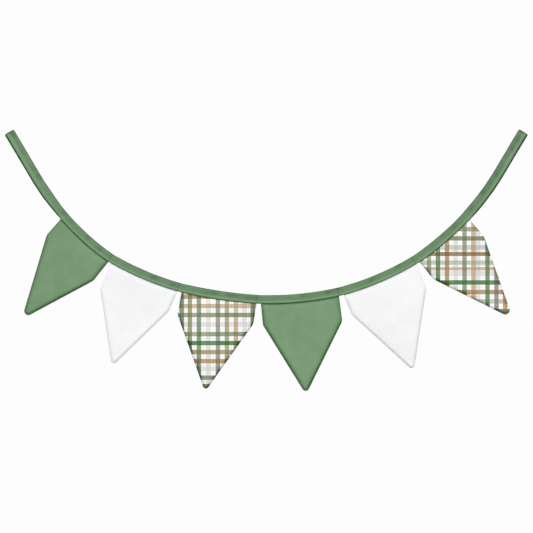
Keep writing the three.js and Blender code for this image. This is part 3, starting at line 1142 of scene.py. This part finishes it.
def thread_finish():
    """Slightly shiny green thread, for the tape's sewing."""
    material = bpy.data.materials.new("green_thread")
    material.use_nodes = True
    recipe = Recipe(material.node_tree)
    material.node_tree.nodes.clear()
    place = recipe.node("ShaderNodeTexCoord").outputs["Object"]
    tone = recipe.between(recipe.clouds(place, THREAD_PATCH), 0.3, 0.7)
    dyed = recipe.blend("MIX", tone, lit(118, 148, 114), lit(134, 163, 128))
    shader = recipe.node(
        "ShaderNodeBsdfPrincipled", Base_Color=dyed, Roughness=0.7, Specular_IOR_Level=0.3,
        Sheen_Weight=0.15,
    )
    recipe.node("ShaderNodeOutputMaterial", Surface=shader.outputs[0])
    return material


# ---- Studio ---------------------------------------------------------------------------------

VIEW_CENTRE = Vector((0.5922, 0, -0.3096))
VIEW_WIDTH = 1.2259  # what the picture spans at the bunting
VIEW_DISTANCE = 4.0
SENSOR_MM = 36
LAMP_DISTANCE = 5.0
LAMP_SIZE = 1.6
LAMPS = {  # azimuth from the front, height and power
    "key_light": (math.radians(-4), math.radians(50), 288),
    "back_light": (math.radians(168), math.radians(8), 150),
}
SKY, UNDER = 0.52, 0.10  # light from above and from below the horizon
HORIZON = 0.35  # height of the band over which one turns into the other
PAPER = 0.982  # the ground that the picture shows
FLOOR_DROP = 2.3
FLOOR_SIZE = 4.0
FLOOR_GREY = (0.7, 0.7, 0.69)


def aim(thing, target):
    thing.rotation_euler = (target - thing.location).to_track_quat("-Z", "Y").to_euler()


def studio_camera():
    lens = bpy.data.cameras.new("studio_camera")
    lens.sensor_width = SENSOR_MM
    lens.lens = SENSOR_MM * VIEW_DISTANCE / VIEW_WIDTH
    camera = bpy.data.objects.new("studio_camera", lens)
    bpy.context.scene.collection.objects.link(camera)
    camera.location = VIEW_CENTRE + Vector((0, -VIEW_DISTANCE - HANG_DEPTH, 0))
    aim(camera, VIEW_CENTRE)
    bpy.context.scene.camera = camera


def studio_lamps():
    for name, (azimuth, height, power) in LAMPS.items():
        lamp = bpy.data.lights.new(name, "AREA")
        lamp.shape = "DISK"
        lamp.size = LAMP_SIZE
        lamp.energy = power
        light = bpy.data.objects.new(name, lamp)
        light.visible_camera = False
        bpy.context.scene.collection.objects.link(light)
        level = math.cos(height)
        way = Vector((math.sin(azimuth) * level, -math.cos(azimuth) * level, math.sin(height)))
        light.location = VIEW_CENTRE + way * LAMP_DISTANCE
        aim(light, VIEW_CENTRE)


def studio_world():
    """Soft light, brighter from above. The camera sees plain paper white."""
    world = bpy.data.worlds.new("studio")
    bpy.context.scene.world = world
    world.use_nodes = True
    world.node_tree.nodes.clear()
    recipe = Recipe(world.node_tree)
    way = recipe.node("ShaderNodeTexCoord").outputs["Generated"]
    height = recipe.node("ShaderNodeSeparateXYZ", Vector=way).outputs["Z"]
    soft = grey(recipe, recipe.between(height, -HORIZON, HORIZON, UNDER, SKY))
    seen = recipe.node("ShaderNodeLightPath").outputs["Is Camera Ray"]
    shown = recipe.blend("MIX", seen, soft, (PAPER, PAPER, PAPER))
    background = recipe.node("ShaderNodeBackground", Color=shown)
    recipe.node("ShaderNodeOutputWorld", Surface=background.outputs[0])


def studio_floor():
    bm = bmesh.new()
    put = Matrix.Translation(Vector((VIEW_CENTRE.x, 0, -FLOOR_DROP)))
    bmesh.ops.create_grid(bm, x_segments=1, y_segments=1, size=FLOOR_SIZE / 2, matrix=put)
    mesh = bpy.data.meshes.new("studio_floor")
    bm.to_mesh(mesh)
    bm.free()
    material = bpy.data.materials.new("pale_floor")
    material.use_nodes = True
    shader = material.node_tree.nodes["Principled BSDF"]
    shader.inputs["Base Color"].default_value = (*FLOOR_GREY, 1)
    shader.inputs["Roughness"].default_value = 0.9
    mesh.materials.append(material)
    floor = bpy.data.objects.new("studio_floor", mesh)
    bpy.context.scene.collection.objects.link(floor)


# ---- Making it ------------------------------------------------------------------------------

studio_camera()
studio_lamps()
studio_world()
studio_floor()
bpy.context.scene.view_settings.view_transform = "Standard"

GREENS_WITH_PAINTED_SHADE = {0: (115, 146.5, 110.5), 3: (119.5, 151, 115)}  # by the pennant's index; one green cloth, pennant 1's copy darker, partly as painted shade against the light its forward tilt catches
WHITE = (242, 242, 243.5)
# tints of the painted shade along the seams and below the tape
WHITE_PAINTED_SHADE_TINT = (0.86, 0.87, 0.90)
PLAID_PAINTED_SHADE_TINT = (0.80, 0.81, 0.84)
BIAS = math.radians(45)  # the tape is cut across its threads

tape_cotton = cotton("tape_cotton", paint_tape, BIAS, painted_shade_depth=2.7, crumple=0.00022)
tape = folded_tape(tape_cotton)
stitches = tape_stitches(thread_finish())

for index, (shape, arc) in enumerate(zip(PENNANTS, BOUND)):
    name = f"{shape.cloth}_cotton_{index + 1}"
    if shape.cloth == "green":
        cloth = cotton(name, plain(*GREENS_WITH_PAINTED_SHADE[index]))
    elif shape.cloth == "white":
        cloth = cotton(name, plain(*WHITE), painted_shade_depth=0.3, painted_shade_tint=WHITE_PAINTED_SHADE_TINT, mottled=0.01)
    else:
        printed = plaid_print(PLAIDS[index])
        cloth = cotton(name, printed, painted_shade_tint=PLAID_PAINTED_SHADE_TINT, mottled=0.02)
    pennant(index, shape, arc, cloth)
